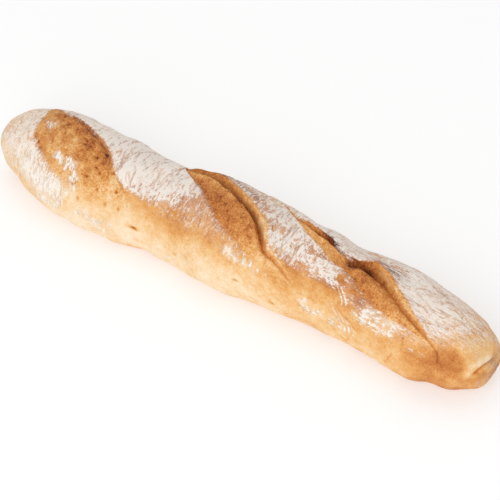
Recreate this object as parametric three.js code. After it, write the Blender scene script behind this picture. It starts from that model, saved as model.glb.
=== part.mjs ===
// A rustic baguette: one long loaf with a flat base, three diagonal cuts that opened in the oven,
// each with a deep crevice, a bloom of risen dough on one side of it and a raised ear on the other,
// and a folded seam at one end. Millimetres, +Z up, X along the loaf, origin under its middle.
import * as THREE from "three";

// Driving sizes of the plain body
const LENGTH = 372;
const HALF = LENGTH / 2;
const HALF_WIDTHS = [33, 34.8, 34.7, 32, 32.5, 35.2, 32.2, 29.5, 31.5, 29.6, 27];
const SWAYS = [2, 1.6, -2.2, -1.1, 1.5, 0.3, 1, 2.3, 1, -2.4, -2.2];
const HEIGHT_SHARE = 0.8; // height over width
const BELLY_SHARE = 0.42; // height of the widest level over the whole height
const UNDERCUT = 3; // how far the round belly is cut by the flat base
const LEFT_CAP = { length: 80, power: 2.1 };
const RIGHT_CAP = { length: 52, power: 2.8 };
const UPPER_POWER = 2.05;
const LOWER_POWER = 2.6;
const MM_PER_DEGREE = 0.58; // over the crust, round the loaf

// Mesh density, and the steps in which lengths are measured along the loaf and round it
const RINGS = 98;
const COLUMNS = 60;
const STEPS_ALONG = 8000;
const STEPS_ROUND = 720;

// A cut's section: where the ear starts and is at its full height, in half widths of the crevice's far
// wall, and how square that wall's foot is; how early the bloom swells; and where its edge steps down,
// as shares of the bloom's reach
const EAR_RISE = [0.2, 1.7];
const WALL_POWER = 2.2;
const SWELL_POWER = 0.75;
const EDGE_STEP = [0.35, 0.97, 0.99];
const EDGE_WIDTH = 1.6;
// Where the near lip stands from the crevice and how wide it is, in half widths of the crevice's near side
const LIP_AWAY = 2.1;
const LIP_WIDTH = 0.9;
// How far past a cut's two ends its relief fades in and out
const LIVE_FROM = [-8, 4];
const LIVE_TO = [-3, 6];

// The cuts. line is the crevice as [x, degrees from the top], and the others change along x, in
// millimetres: depth of the crevice, its near and far half widths, height of the ear and how far it takes
// to fall off, the lip on the near side, and the bloom's reach, swell and edge step.
const CUTS = [
  {
    line: [
      [-162, -60], [-152, -42], [-140, -26], [-128, -20], [-114, -12], [-101, -3], [-90, 12], [-80, 28],
      [-66, 48],
    ],
    depth: [[-152, 0], [-140, 0.5], [-126, 0.9], [-112, 0.5], [-98, 0.7], [-84, 0.2], [-72, 0]],
    near: [[-152, 2.4], [-60, 2]],
    wall: [[-152, 0.9], [-60, 0.9]],
    ear: [[-152, 0.3], [-138, 0.7], [-124, 0.9], [-104, 0.6], [-90, 0.3], [-76, 0]],
    fall: 8,
    lip: [[-154, 0], [-142, 1], [-124, 1.6], [-100, 1.5], [-84, 0.5], [-74, 0]],
    bloom: [
      [-159, 1], [-156, 12], [-153, 24], [-146, 30], [-132, 39], [-118, 41], [-104, 36], [-92, 26],
      [-80, 14], [-66, 4],
    ],
    swell: [[-158, 0], [-146, 1.4], [-122, 2.4], [-100, 1.8], [-76, 0]],
    step: [[-160, 0], [-150, 1], [-130, 0.7], [-112, 0.2], [-96, 0]],
  },
  {
    line: [
      [-58, -52], [-50, -39], [-42, -33], [-30, -28], [-17, -20], [-3, -9], [10, 0.5], [19, 11.5],
      [26, 26], [31, 35], [38, 40], [48, 49], [60, 66],
    ],
    depth: [
      [-60, 0], [-53, 3], [-42, 4.2], [-30, 5.6], [-8, 6], [12, 5.6], [26, 4], [36, 2], [48, 1.2], [60, 0],
    ],
    near: [[-56, 1.6], [-30, 1.9], [0, 1.6], [24, 1.4], [38, 0.8], [60, 0.7]],
    wall: [
      [-56, 1.6], [-38, 2.9], [-20, 2.6], [0, 1.9], [12, 1.8], [25, 2.4], [33, 2.6], [44, 1.7], [58, 0.9],
    ],
    ear: [[-54, 0], [-46, 1.6], [-36, 3], [-20, 3.6], [8, 3.6], [26, 3], [42, 1.4], [60, 0]],
    fall: 7,
    lip: [[-48, 0], [-34, 0.8], [-18, 1.4], [0, 0.6], [20, 0.8], [34, 0]],
    bloom: [
      [-54, 1.5], [-48, 5], [-42, 8], [-34, 12], [-24, 16], [-12, 18.5], [4, 20], [16, 15.5], [26, 10],
      [36, 7], [48, 3], [56, 1],
    ],
    swell: [[-46, 0], [-34, 0.4], [-10, 1.6], [12, 2.2], [30, 1.2], [44, 0]],
    step: [[-56, 1.5], [-44, 2.8], [-26, 2.4], [-6, 1.4], [10, 0.5], [24, 0]],
  },
  {
    line: [
      [22, -42], [34, -31], [44, -24], [54, -19], [64, -15], [72, -10], [80, -8], [90, -6], [98, -1],
      [106, 5], [116, 16], [128, 27], [140, 35], [150, 43], [158, 53],
    ],
    depth: [
      [20, 0], [34, 1], [44, 2.2], [54, 4.4], [62, 4.8], [72, 2.4], [78, 2.2], [86, 5.2], [98, 5.6],
      [110, 4], [124, 2.2], [140, 1.6], [154, 1], [162, 0],
    ],
    near: [
      [26, 0.9], [48, 1.5], [70, 1.6], [80, 2.6], [92, 4], [104, 3.8], [114, 2.4], [126, 1.3], [158, 0.8],
    ],
    wall: [
      [26, 0.8], [44, 1.3], [58, 2], [70, 1.1], [84, 1.4], [95, 3], [108, 2.6], [122, 2.4], [136, 1.9],
      [158, 1],
    ],
    ear: [
      [22, 0], [42, 1.2], [60, 1.8], [76, 1.6], [86, 2], [95, 4.2], [104, 2.8], [116, 2], [128, 1.8],
      [142, 1.4], [158, 0],
    ],
    fall: 6,
    lip: [[30, 0], [46, 1], [66, 1.2], [78, 0.2], [90, 0]],
    bloom: [
      [30, 2], [42, 5.5], [54, 8.5], [66, 10.5], [76, 11.5], [86, 14], [94, 16], [102, 17], [111, 14],
      [122, 10], [132, 6], [146, 3], [156, 1.5],
    ],
    swell: [[70, 0], [90, 0.8], [106, 1.8], [126, 1.4], [146, 0.4], [156, 0]],
    step: [[72, 0], [86, 1.4], [100, 1], [116, 0]],
  },
];

// Hollows (negative) and swellings of the crust: x, degrees from the top, half length, half girth, height
const SWELLS = [
  [-161, 112, 6, 9, -1.8],
  [-130, -31, 4, 2.4, -1.2],
  [-122, -52, 6, 8, -1.5],
  [-121, 121, 7, 8, 1.3],
  [-106, 119, 6, 8, 0.9],
  [-101, 67, 2, 1.6, -1],
  [-100, 14, 3, 2.2, -1.1],
  [-100, 38, 2.4, 1.8, -1],
  [-98, 27, 3.4, 2, -1.3],
  [-92, 34, 2.2, 2.6, -1],
  [-89, -51, 8, 8, 1.3],
  [-88, 65, 1.4, 1.8, -0.8],
  [-84, 59, 1.6, 2.2, -0.9],
  [-77, 120, 6, 8, 1.2],
  [-62, 84, 6, 2.4, -1.6],
  [-56, 120, 8, 8, -1.4],
  [-50, -52, 8, 9, -3.2],
  [-37, -44, 9, 7, -2.6],
  [-20, 70, 26, 9, 0.7],
  [-14, 114, 13, 8, 1.2],
  [-9, -46, 9, 8, 1.4],
  [44, -56, 5, 7, -0.8],
  [62, -60, 9, 7, 0.8],
  [70, 60, 16, 9, 0.8],
  [74, -5, 3, 2.2, 0.8],
  [81, 0, 5, 3, -3.4],
  [90, 8, 4, 2.6, 1.4],
  [100, 2, 7, 3.5, -1.6],
  [104, 13, 5, 3, -1],
  [110, -16, 13, 6, -2.4],
  [120, 108, 14, 9, 2],
  [136, -54, 9, 8, -1.2],
  [140, 70, 18, 9, 0.9],
  [154, 122, 9, 13, -4],
  [160, -58, 12, 8, -1.4],
  [173, 126, 6, 12, -3.2],
  [177, -72, 6, 10, -3.6],
];

// Gentle unevenness of the whole loaf, as waves over it: height, millimetres per radian along x,
// turns round it, phase
const WAVES = [
  [0.45, 17, 2, 0.4],
  [0.4, 12.5, -3, 1.9],
  [0.35, 9.3, 4, 3.1],
  [0.3, 7.4, -2, 5],
  [0.25, 5.6, 5, 2.2],
  [0.2, 4.1, -6, 0.7],
];

// The end's folded seam: x of its line against degrees from the top, its depth, and the pads on both
// sides of it
const FOLD_LINE = [[-50, 184.2], [4, 184.9], [29, 183.8], [43, 182], [54, 180.4], [68, 178.8], [84, 178.6]];
const FOLD_DEPTH = [[-60, 0], [-30, 1.2], [4, 2], [40, 1.9], [60, 1.2], [80, 0.4], [90, 0]];
const FOLD_HALF_WIDTH = 1.6;
const FOLD_PADS = [
  { away: -6.5, halfWidth: 4.8, height: 1.2 },
  { away: 4.5, halfWidth: 3, height: 0.4 },
];
const FOLD_PADS_FULL_AT = 1.5; // the depth of the seam from which its pads have their full height

// The crust round the crevices needs closer columns than the plain sides and the base
const CREVICE_CLOSENESS = 3.2;
const CREVICE_REACH = 5;
const CREVICE_LEAD = 30; // over which the columns draw together before a cut's end
const SIDE_CLOSENESS = 0.75;
const SIDE_END = [115, 140]; // degrees from the top where the sides turn into the base
const BASE_CLOSENESS = 0.4;

// The rings are closer at the folded end, and bend there to run along the seam
const SEAM_CLOSENESS = 1.6;
const SEAM_REACH = [170, 178];
const SEAM_BEND = { from: 164, middle: 182 };

const radians = (degrees) => (degrees * Math.PI) / 180;
const clamp01 = (v) => Math.min(Math.max(v, 0), 1);
const signedPower = (v, p) => Math.sign(v) * Math.abs(v) ** p;
const bell = (v, halfWidth) => Math.exp(-((v / halfWidth) ** 2));

function ramp(v, low, high) {
  const t = clamp01((v - low) / (high - low));
  return t * t * (3 - 2 * t);
}

const window = (v, a, b, c, d) => ramp(v, a, b) * (1 - ramp(v, c, d));

// Slopes of a smooth curve through points, by differences that allow for uneven spacing
function slopesOf(points) {
  return points.map((p, i) => {
    if (i === 0 || i === points.length - 1) {
      const [a, b] = i === 0 ? [points[0], points[1]] : [points[i - 1], p];
      return (b[1] - a[1]) / (b[0] - a[0]);
    }
    const before = p[0] - points[i - 1][0];
    const after = points[i + 1][0] - p[0];
    const slopeBefore = (p[1] - points[i - 1][1]) / before;
    const slopeAfter = (points[i + 1][1] - p[1]) / after;
    return (slopeBefore * after + slopeAfter * before) / (before + after);
  });
}

function hermite(v, points, slopes) {
  let i = 0;
  while (i < points.length - 2 && v > points[i + 1][0]) i += 1;
  const h = points[i + 1][0] - points[i][0];
  const t = (v - points[i][0]) / h;
  return (
    (2 * t ** 3 - 3 * t ** 2 + 1) * points[i][1] +
    (t ** 3 - 2 * t ** 2 + t) * h * slopes[i] +
    (3 * t ** 2 - 2 * t ** 3) * points[i + 1][1] +
    (t ** 3 - t ** 2) * h * slopes[i + 1]
  );
}

// A smooth curve through points, level past both ends
function levelCurve(points) {
  const slopes = slopesOf(points);
  slopes[0] = 0;
  slopes[slopes.length - 1] = 0;
  const [first, last] = [points[0][0], points[points.length - 1][0]];
  return (v) => hermite(Math.min(Math.max(v, first), last), points, slopes);
}

// A smooth curve through points that runs on straight past both ends
function openCurve(points) {
  const slopes = slopesOf(points);
  const [first, last] = [points[0][0], points[points.length - 1][0]];
  return (v) => {
    const inside = hermite(Math.min(Math.max(v, first), last), points, slopes);
    return inside + Math.min(v - first, 0) * slopes[0] + Math.max(v - last, 0) * slopes[slopes.length - 1];
  };
}

const stations = (values) => values.map((value, i) => [-HALF + (LENGTH * i) / (values.length - 1), value]);
const halfWidthAt = openCurve(stations(HALF_WIDTHS));
const swayAt = openCurve(stations(SWAYS));

// The share of its full girth that the loaf has at x: 1 along the middle, 0 at its two tips
function capShare(x) {
  const { length, power } = x < 0 ? LEFT_CAP : RIGHT_CAP;
  const t = clamp01((Math.abs(x) - (HALF - length)) / length);
  return (1 - t ** power) ** (1 / power);
}

// The plain body's surface: phi is in degrees from the top, growing towards the side where the cuts
// come down
function bodyPoint(x, phi) {
  const width = halfWidthAt(x);
  const share = capShare(x);
  const [s, c] = [Math.sin(radians(phi)), Math.cos(radians(phi))];
  const power = 2 / (c > 0 ? UPPER_POWER : LOWER_POWER);
  const height = 2 * width * HEIGHT_SHARE;
  const belly = height * BELLY_SHARE;
  const rise = (c > 0 ? height - belly : belly + UNDERCUT) * share;
  const across = swayAt(x) - width * share * signedPower(s, power);
  return new THREE.Vector3(x, across, belly + rise * signedPower(c, power));
}

function bodyNormal(x, phi) {
  const step = 0.02;
  const alongX = bodyPoint(x + step, phi).sub(bodyPoint(x - step, phi));
  const round = bodyPoint(x, phi + step).sub(bodyPoint(x, phi - step));
  return round.cross(alongX).normalize();
}

const CURVES = ["depth", "near", "wall", "ear", "lip", "bloom", "swell", "step"];
const cuts = CUTS.map((cut) => ({
  ...Object.fromEntries(CURVES.map((key) => [key, levelCurve(cut[key])])),
  line: openCurve(cut.line),
  start: cut.line[0][0],
  end: cut.line[cut.line.length - 1][0],
  fall: cut.fall,
}));

// How far a point lies from a cut's crevice, over the crust: positive on the ear's side
function acrossCut(cut, x, phi) {
  const centre = cut.line(x) * MM_PER_DEGREE;
  const slope = (cut.line(x + 0.5) * MM_PER_DEGREE - centre) / 0.5;
  return (centre - phi * MM_PER_DEGREE) / Math.hypot(1, slope);
}

// The share of a cut's relief that is there at x: it fades in and out past the cut's two ends
function liveShare(cut, x) {
  const [a, b] = LIVE_FROM.map((away) => cut.start + away);
  const [c, d] = LIVE_TO.map((away) => cut.end + away);
  return window(x, a, b, c, d);
}

// Height of one cut's relief over the plain body
function cutRelief(cut, x, phi) {
  const live = liveShare(cut, x);
  if (live === 0) return 0;
  const d = acrossCut(cut, x, phi);
  const [near, wall, reach] = [cut.near(x), cut.wall(x), Math.max(cut.bloom(x), 0.5)];
  const [crestStart, crestFull] = EAR_RISE.map((share) => share * wall);
  const valley = d < 0 ? bell(d, near) : Math.exp(-((d / wall) ** WALL_POWER));
  const crest = ramp(d, crestStart, crestFull) * bell(Math.max(d - crestFull, 0), cut.fall);
  const s = -d / reach;
  const mound = s > 0 && s < 1 ? Math.sin(Math.PI * s ** SWELL_POWER) : 0;
  const [stepFrom, stepFull, edge] = EDGE_STEP;
  const ledge = ramp(s, stepFrom, stepFull) * (1 - ramp(s, edge, 1 + EDGE_WIDTH / Math.max(reach, 2)));
  const lip = bell(d + LIP_AWAY * near, LIP_WIDTH * near);
  const raised = cut.ear(x) * crest + cut.swell(x) * mound + cut.lip(x) * lip;
  return live * (raised - cut.depth(x) * valley - cut.step(x) * ledge);
}

const foldLine = levelCurve(FOLD_LINE);
const foldDepth = levelCurve(FOLD_DEPTH);
const girth = (x) => halfWidthAt(x) * capShare(x);

// Height of the folded seam and its pads; away is the distance from the seam, positive towards the tip
function foldRelief(x, phi) {
  const line = foldLine(phi);
  const depth = foldDepth(phi);
  const away = Math.sign(x - line) * Math.hypot(x - line, girth(x) - girth(line));
  const pads = FOLD_PADS.reduce((sum, pad) => sum + pad.height * bell(away - pad.away, pad.halfWidth), 0);
  return pads * Math.min(depth / FOLD_PADS_FULL_AT, 1) - depth * bell(away, FOLD_HALF_WIDTH);
}

function surfacePoint(x, phi) {
  let height = foldRelief(x, phi);
  for (const cut of cuts) height += cutRelief(cut, x, phi);
  for (const [centre, middle, halfLength, halfGirth, rise] of SWELLS) {
    height += rise * bell(x - centre, halfLength) * bell((phi - middle) * MM_PER_DEGREE, halfGirth);
  }
  for (const [rise, alongX, turns, phase] of WAVES) {
    height += rise * capShare(x) * Math.sin(x / alongX + turns * radians(phi) + phase);
  }
  const point = bodyPoint(x, phi).addScaledVector(bodyNormal(x, phi), height);
  point.z = Math.max(point.z, 0); // the flat base
  return point;
}

// Evenly spaced values of a running sum: where each of count steps falls on it
function spread(places, weights, count, offset) {
  const sums = [0];
  for (let i = 1; i < places.length; i += 1) {
    sums.push(sums[i - 1] + ((weights[i] + weights[i - 1]) / 2) * (places[i] - places[i - 1]));
  }
  const total = sums[sums.length - 1];
  const found = [];
  let i = 0;
  for (let k = 0; k < count; k += 1) {
    const target = ((k + offset) / count) * total;
    while (i < places.length - 2 && sums[i + 1] < target) i += 1;
    const t = (target - sums[i]) / (sums[i + 1] - sums[i]);
    found.push(places[i] + t * (places[i + 1] - places[i]));
  }
  return found;
}

// Rings are evenly spaced over the side profile, so that the rounded tips get their share, and closer
// at the seam
function ringPlaces() {
  const places = Array.from({ length: STEPS_ALONG + 1 }, (_, i) => -HALF + (LENGTH * i) / STEPS_ALONG);
  const girths = places.map(girth);
  const weights = places.map((x, i) => {
    const j = Math.min(Math.max(i, 1), places.length - 2);
    const profile = Math.hypot(1, (girths[j + 1] - girths[j - 1]) / (places[j + 1] - places[j - 1]));
    return profile * (1 + (SEAM_CLOSENESS - 1) * ramp(x, ...SEAM_REACH));
  });
  return spread(places, weights, RINGS, 0.5);
}

// Where a ring that is at x round the rest of the loaf crosses phi
function bentPlace(x, phi) {
  const { from, middle } = SEAM_BEND;
  const share = x < middle ? ramp(x, from, middle) : (HALF - x) / (HALF - middle);
  return x + share * Math.min(foldDepth(phi), 1) * (foldLine(phi) - middle);
}

function columnPlaces(x) {
  const places = Array.from({ length: STEPS_ROUND + 1 }, (_, i) => -180 + (360 * i) / STEPS_ROUND);
  const weights = places.map((phi) => {
    let weight = BASE_CLOSENESS + SIDE_CLOSENESS * (1 - ramp(Math.abs(phi), ...SIDE_END));
    for (const cut of cuts) {
      const share = window(x, cut.start - CREVICE_LEAD, cut.start, cut.end, cut.end + CREVICE_LEAD);
      weight += CREVICE_CLOSENESS * share * bell(acrossCut(cut, x, phi) - 1, CREVICE_REACH);
    }
    return weight;
  });
  return spread(places, weights, COLUMNS, 0);
}

function loafGeometry() {
  const vertices = [];
  const triangles = [];
  const rings = ringPlaces();
  for (const x of rings) {
    for (const phi of columnPlaces(x)) vertices.push(surfacePoint(bentPlace(x, phi), phi));
  }
  const index = (i, j) => i * COLUMNS + (j % COLUMNS);
  for (let i = 0; i < RINGS - 1; i += 1) {
    for (let j = 0; j < COLUMNS; j += 1) {
      const [a, b, c, d] = [index(i, j), index(i, j + 1), index(i + 1, j + 1), index(i + 1, j)];
      triangles.push(a, b, c, a, c, d);
    }
  }
  for (const [x, ring, turned] of [[-HALF, 0, true], [HALF, RINGS - 1, false]]) {
    const height = 2 * halfWidthAt(x) * HEIGHT_SHARE * BELLY_SHARE;
    const tip = vertices.push(new THREE.Vector3(x, swayAt(x), height)) - 1;
    for (let j = 0; j < COLUMNS; j += 1) {
      const [a, b] = [index(ring, j), index(ring, j + 1)];
      triangles.push(...(turned ? [tip, b, a] : [tip, a, b]));
    }
  }
  const geometry = new THREE.BufferGeometry().setFromPoints(vertices);
  geometry.setIndex(triangles);
  geometry.computeVertexNormals();
  return geometry;
}

const crust = new THREE.MeshStandardMaterial({ color: 0xdca566, roughness: 0.75, metalness: 0 });
const loaf = new THREE.Mesh(loafGeometry(), crust);
loaf.name = "loaf";

const baguette = new THREE.Group();
baguette.add(loaf);

export default baguette;
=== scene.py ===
"""A rustic baguette on a pale floor: the loaf's crust, torn cuts and flour, its lights and its camera.

The form is worked out in millimetres and degrees over the loaf: x runs along it, and phi goes round it
from the top, growing towards the side where the cuts come down. Meshes are then placed in metres, in the
frame of the CAD loaf.
"""

import math

import bpy
import numpy as np
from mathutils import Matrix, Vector


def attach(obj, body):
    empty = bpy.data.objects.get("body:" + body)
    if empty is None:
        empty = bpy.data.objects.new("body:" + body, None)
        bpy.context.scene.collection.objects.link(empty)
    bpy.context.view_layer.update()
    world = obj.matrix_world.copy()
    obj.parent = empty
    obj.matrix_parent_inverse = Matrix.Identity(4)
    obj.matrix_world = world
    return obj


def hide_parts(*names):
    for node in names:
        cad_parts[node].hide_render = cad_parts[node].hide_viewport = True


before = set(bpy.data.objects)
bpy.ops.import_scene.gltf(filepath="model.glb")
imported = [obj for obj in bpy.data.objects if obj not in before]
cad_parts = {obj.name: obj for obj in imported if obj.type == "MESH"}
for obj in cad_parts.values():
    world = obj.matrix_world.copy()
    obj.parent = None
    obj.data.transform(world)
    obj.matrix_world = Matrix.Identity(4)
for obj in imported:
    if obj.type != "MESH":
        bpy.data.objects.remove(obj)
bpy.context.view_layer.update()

# Driving sizes of the plain body, the same as the CAD loaf's
LENGTH = 372.0
HALF = LENGTH / 2
HALF_WIDTHS = [33, 34.8, 34.7, 32, 32.5, 35.2, 32.2, 29.5, 31.5, 29.6, 27]
SWAYS = [2, 1.6, -2.2, -1.1, 1.5, 0.3, 1, 2.3, 1, -2.4, -2.2]
HEIGHT_SHARE = 0.8  # height over width
BELLY_SHARE = 0.42  # height of the widest level, over the whole height
UNDERCUT = 3.0  # how much of the round underside the flat base cuts off
LEFT_CAP_LENGTH, LEFT_CAP_POWER = 80.0, 2.1
RIGHT_CAP_LENGTH, RIGHT_CAP_POWER = 52.0, 2.8
UPPER_POWER, LOWER_POWER = 2.05, 2.6
MM_PER_DEGREE = 0.58  # millimetres of crust to a degree round the loaf

# Mesh density: the columns are closer round the crevices, and wider on the base
RINGS = 500
COLUMNS = 198
CREVICE_CLOSENESS, CREVICE_REACH = 3.0, 5.0
SIDE_CLOSENESS, BASE_CLOSENESS = 0.75, 0.4
SIDE_END = (115, 140)  # degrees from the top where the sides turn into the base

# A cut's section
EAR_RISE = (0.2, 1.7)  # where the ear starts and where it is at full height, in half widths of its wall
WALL_POWER = 2.2  # how squarely the wall rises from the crevice
SWELL_POWER = 0.75  # below 1, so the bloom is highest nearer the crevice than its edge
EDGE_STEP = (0.35, 0.97, 0.99)  # shares of the bloom's reach where its step starts, is full and ends
EDGE_WIDTH = 1.6  # millimetres over which the step ends
LIP_AWAY, LIP_WIDTH = 2.1, 0.9  # the near lip's distance and half width, in near half widths of the crevice
LEAN_START = 0.3  # where the ear starts to lean, in half widths of its wall
LEAN_FADE = 3.0  # millimetres past the ear's top over which it stops leaning
LIVE_FROM, LIVE_TO = (-8, 4), (-3, 6)  # millimetres from a cut's ends over which its relief comes and goes
# Raggedness of the torn edges: noises with how far they go, their size, seed and number of octaves
RAGGED = [(0.6, 7.0, 3, 3), (0.5, 2.6, 5, 2)]

# The cuts. line is the crevice as (x, degrees from the top). The other curves change along x, in
# millimetres: depth of the crevice; near and wall, its half widths on both sides; height of the ear; lean,
# how far the ear leans over the crevice; rim, how far the bare strip goes on past the ear's top; height of
# the lip on the near side; the bloom's reach; and the heights of its swell and its edge step. The ear falls
# off over fall millimetres, and the torn look fades out between the two degrees of fade.
CUTS = [
    dict(
        line=[
            (-162, -60), (-152, -42), (-140, -26), (-128, -20), (-114, -12), (-101, -3), (-90, 12),
            (-80, 28), (-66, 48),
        ],
        depth=[(-152, 0), (-140, 0.5), (-126, 0.9), (-112, 0.5), (-98, 0.7), (-84, 0.2), (-72, 0)],
        near=[(-152, 2.4), (-60, 2.0)],
        wall=[(-152, 0.9), (-60, 0.9)],
        ear=[(-152, 0.3), (-138, 0.7), (-124, 0.9), (-104, 0.6), (-90, 0.3), (-76, 0)],
        lean=[(-152, 0), (-60, 0)],
        fall=8.0,
        rim=[(-152, 0), (-60, 0)],
        fade=(42, 66),
        lip=[(-154, 0), (-142, 1.0), (-124, 1.6), (-100, 1.5), (-84, 0.5), (-74, 0)],
        bloom=[
            (-159, 1), (-156, 12), (-153, 24), (-146, 30), (-132, 39), (-118, 41), (-104, 36), (-92, 26),
            (-80, 14), (-66, 4),
        ],
        swell=[(-158, 0), (-146, 1.4), (-122, 2.4), (-100, 1.8), (-76, 0)],
        step=[(-160, 0), (-150, 1.0), (-130, 0.7), (-112, 0.2), (-96, 0)],
    ),
    dict(
        line=[
            (-58, -52), (-50, -39), (-42, -33), (-30, -28), (-17, -20), (-3, -9), (10, 0.5), (19, 11.5),
            (26, 26), (31, 35), (38, 40), (48, 49), (60, 66),
        ],
        depth=[
            (-60, 0), (-53, 3.0), (-42, 4.2), (-30, 5.6), (-8, 6.0), (12, 5.6), (26, 4.0), (36, 2.0),
            (48, 1.2), (60, 0),
        ],
        near=[(-56, 1.6), (-30, 1.9), (0, 1.6), (24, 1.4), (38, 0.8), (60, 0.7)],
        wall=[
            (-56, 1.6), (-38, 2.9), (-20, 2.6), (0, 1.9), (12, 1.8), (25, 2.4), (33, 2.6), (44, 1.7),
            (58, 0.9),
        ],
        ear=[(-54, 0), (-46, 1.6), (-36, 3.0), (-20, 3.6), (8, 3.6), (26, 3.0), (42, 1.4), (60, 0)],
        lean=[(-50, 0), (-36, 0.8), (-10, 1.2), (14, 1.4), (30, 0.6), (44, 0)],
        fall=7.0,
        rim=[(-10, 0), (12, 0.8), (28, 1.2), (38, 0)],
        fade=(38, 56),
        lip=[(-48, 0), (-34, 0.8), (-18, 1.4), (0, 0.6), (20, 0.8), (34, 0)],
        bloom=[
            (-54, 1.5), (-48, 5), (-42, 8), (-34, 12), (-24, 16), (-12, 18.5), (4, 20), (16, 15.5),
            (26, 10), (36, 7), (48, 3), (56, 1),
        ],
        swell=[(-46, 0), (-34, 0.4), (-10, 1.6), (12, 2.2), (30, 1.2), (44, 0)],
        step=[(-56, 1.5), (-44, 2.8), (-26, 2.4), (-6, 1.4), (10, 0.5), (24, 0)],
    ),
    dict(
        line=[
            (22, -42), (34, -31), (44, -24), (54, -19), (64, -15), (72, -10), (80, -8), (90, -6), (98, -1),
            (106, 5), (116, 16), (128, 27), (140, 35), (150, 43), (158, 53),
        ],
        depth=[
            (20, 0), (34, 1.0), (44, 2.2), (54, 4.4), (62, 4.8), (72, 2.4), (78, 2.2), (86, 5.2),
            (98, 5.6), (110, 4.0), (124, 2.2), (140, 1.6), (154, 1.0), (162, 0),
        ],
        near=[
            (26, 0.9), (48, 1.5), (70, 1.6), (80, 2.6), (92, 4.0), (104, 3.8), (114, 2.4), (126, 1.3),
            (158, 0.8),
        ],
        wall=[
            (26, 0.8), (44, 1.3), (58, 2.0), (70, 1.1), (84, 1.4), (95, 3.0), (108, 2.6), (122, 2.4),
            (136, 1.9), (158, 1.0),
        ],
        ear=[
            (22, 0), (42, 1.2), (60, 1.8), (76, 1.6), (86, 2.0), (95, 4.2), (104, 2.8), (116, 2.0),
            (128, 1.8), (142, 1.4), (158, 0),
        ],
        lean=[(34, 0), (48, 1.0), (64, 1.4), (76, 1.8), (88, 2.2), (98, 0.8), (116, 0.4), (140, 0)],
        fall=6.0,
        rim=[(98, 0), (112, 1.4), (126, 2.2), (136, 1.2), (148, 0)],
        fade=(38, 56),
        lip=[(30, 0), (46, 1.0), (66, 1.2), (78, 0.2), (90, 0)],
        bloom=[
            (30, 2), (42, 5.5), (54, 8.5), (66, 10.5), (76, 11.5), (86, 14), (94, 16), (102, 17),
            (111, 14), (122, 10), (132, 6), (146, 3), (156, 1.5),
        ],
        swell=[(70, 0), (90, 0.8), (106, 1.8), (126, 1.4), (146, 0.4), (156, 0)],
        step=[(72, 0), (86, 1.4), (100, 1.0), (116, 0)],
    ),
]

# Hollows (negative) and swellings of the crust: (x, phi, half length, half girth, height)
SWELLS = [
    (-161, 112, 6, 9, -1.8),
    (-130, -31, 4, 2.4, -1.2),
    (-122, -52, 6, 8, -1.5),
    (-121, 121, 7, 8, 1.3),
    (-106, 119, 6, 8, 0.9),
    (-101, 67, 2, 1.6, -1.0),
    (-100, 14, 3, 2.2, -1.1),
    (-100, 38, 2.4, 1.8, -1.0),
    (-98, 27, 3.4, 2, -1.3),
    (-92, 34, 2.2, 2.6, -1.0),
    (-89, -51, 8, 8, 1.3),
    (-88, 65, 1.4, 1.8, -0.8),
    (-84, 59, 1.6, 2.2, -0.9),
    (-77, 120, 6, 8, 1.2),
    (-62, 84, 6, 2.4, -1.6),
    (-56, 120, 8, 8, -1.4),
    (-50, -52, 8, 9, -3.2),
    (-37, -44, 9, 7, -2.6),
    (-20, 70, 26, 9, 0.7),
    (-14, 114, 13, 8, 1.2),
    (-9, -46, 9, 8, 1.4),
    (44, -56, 5, 7, -0.8),
    (62, -60, 9, 7, 0.8),
    (70, 60, 16, 9, 0.8),
    (74, -5, 3, 2.2, 0.8),
    (81, 0, 5, 3.0, -3.4),
    (90, 8, 4, 2.6, 1.4),
    (100, 2, 7, 3.5, -1.6),
    (104, 13, 5, 3, -1.0),
    (110, -16, 13, 6, -2.4),
    (120, 108, 14, 9, 2.0),
    (136, -54, 9, 8, -1.2),
    (140, 70, 18, 9, 0.9),
    (154, 122, 9, 13, -4.0),
    (160, -58, 12, 8, -1.4),
    (173, 126, 6, 12, -3.2),
    (177, -72, 6, 10, -3.6),
]

# Gentle unevenness of the whole loaf, as waves over it: height, millimetres per radian along x, turns
# round it, phase
WAVES = [
    (0.45, 17.0, 2, 0.4),
    (0.40, 12.5, -3, 1.9),
    (0.35, 9.3, 4, 3.1),
    (0.30, 7.4, -2, 5.0),
    (0.25, 5.6, 5, 2.2),
    (0.20, 4.1, -6, 0.7),
]

# The end's folded seam: x of its line against phi, its depth, and the pads on both sides of it, each with
# its distance towards the tip, half width and height, which they have in full where the seam is that deep
FOLD_LINE = [(-50, 184.2), (4, 184.9), (29, 183.8), (43, 182), (54, 180.4), (68, 178.8), (84, 178.6)]
FOLD_DEPTH = [(-60, 0), (-30, 1.2), (4, 2.0), (40, 1.9), (60, 1.2), (80, 0.4), (90, 0)]
FOLD_HALF_WIDTH = 1.4
FOLD_PADS = [(-6.5, 4.8, 1.2), (4.5, 3.0, 0.4)]
FOLD_PADS_FULL_AT = 1.5

# Fine relief, in millimetres: how rough the skin is, and by how much torn dough, the ears' walls and the
# ragged hollows under the third ear are rougher; and the heights of the lumps, of the faint wrinkles of
# plain skin, of the pits and of the wrinkles on the near side
ROUGH_SKIN, ROUGH_TORN, ROUGH_WALL, ROUGH_POCKET = 0.12, 0.55, 0.2, 1.1
LUMP_HEIGHT = 0.4
SKIN_HEIGHT = 0.16
PIT_DEPTH = 0.9
WRINKLE_HEIGHT = 0.45

# Ragged hollows under the third cut's ear, darkened with painted shade: (x, phi, half length, half girth)
POCKET = [(81, -1, 5, 2.8), (92, -2, 4, 2.0)]
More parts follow.
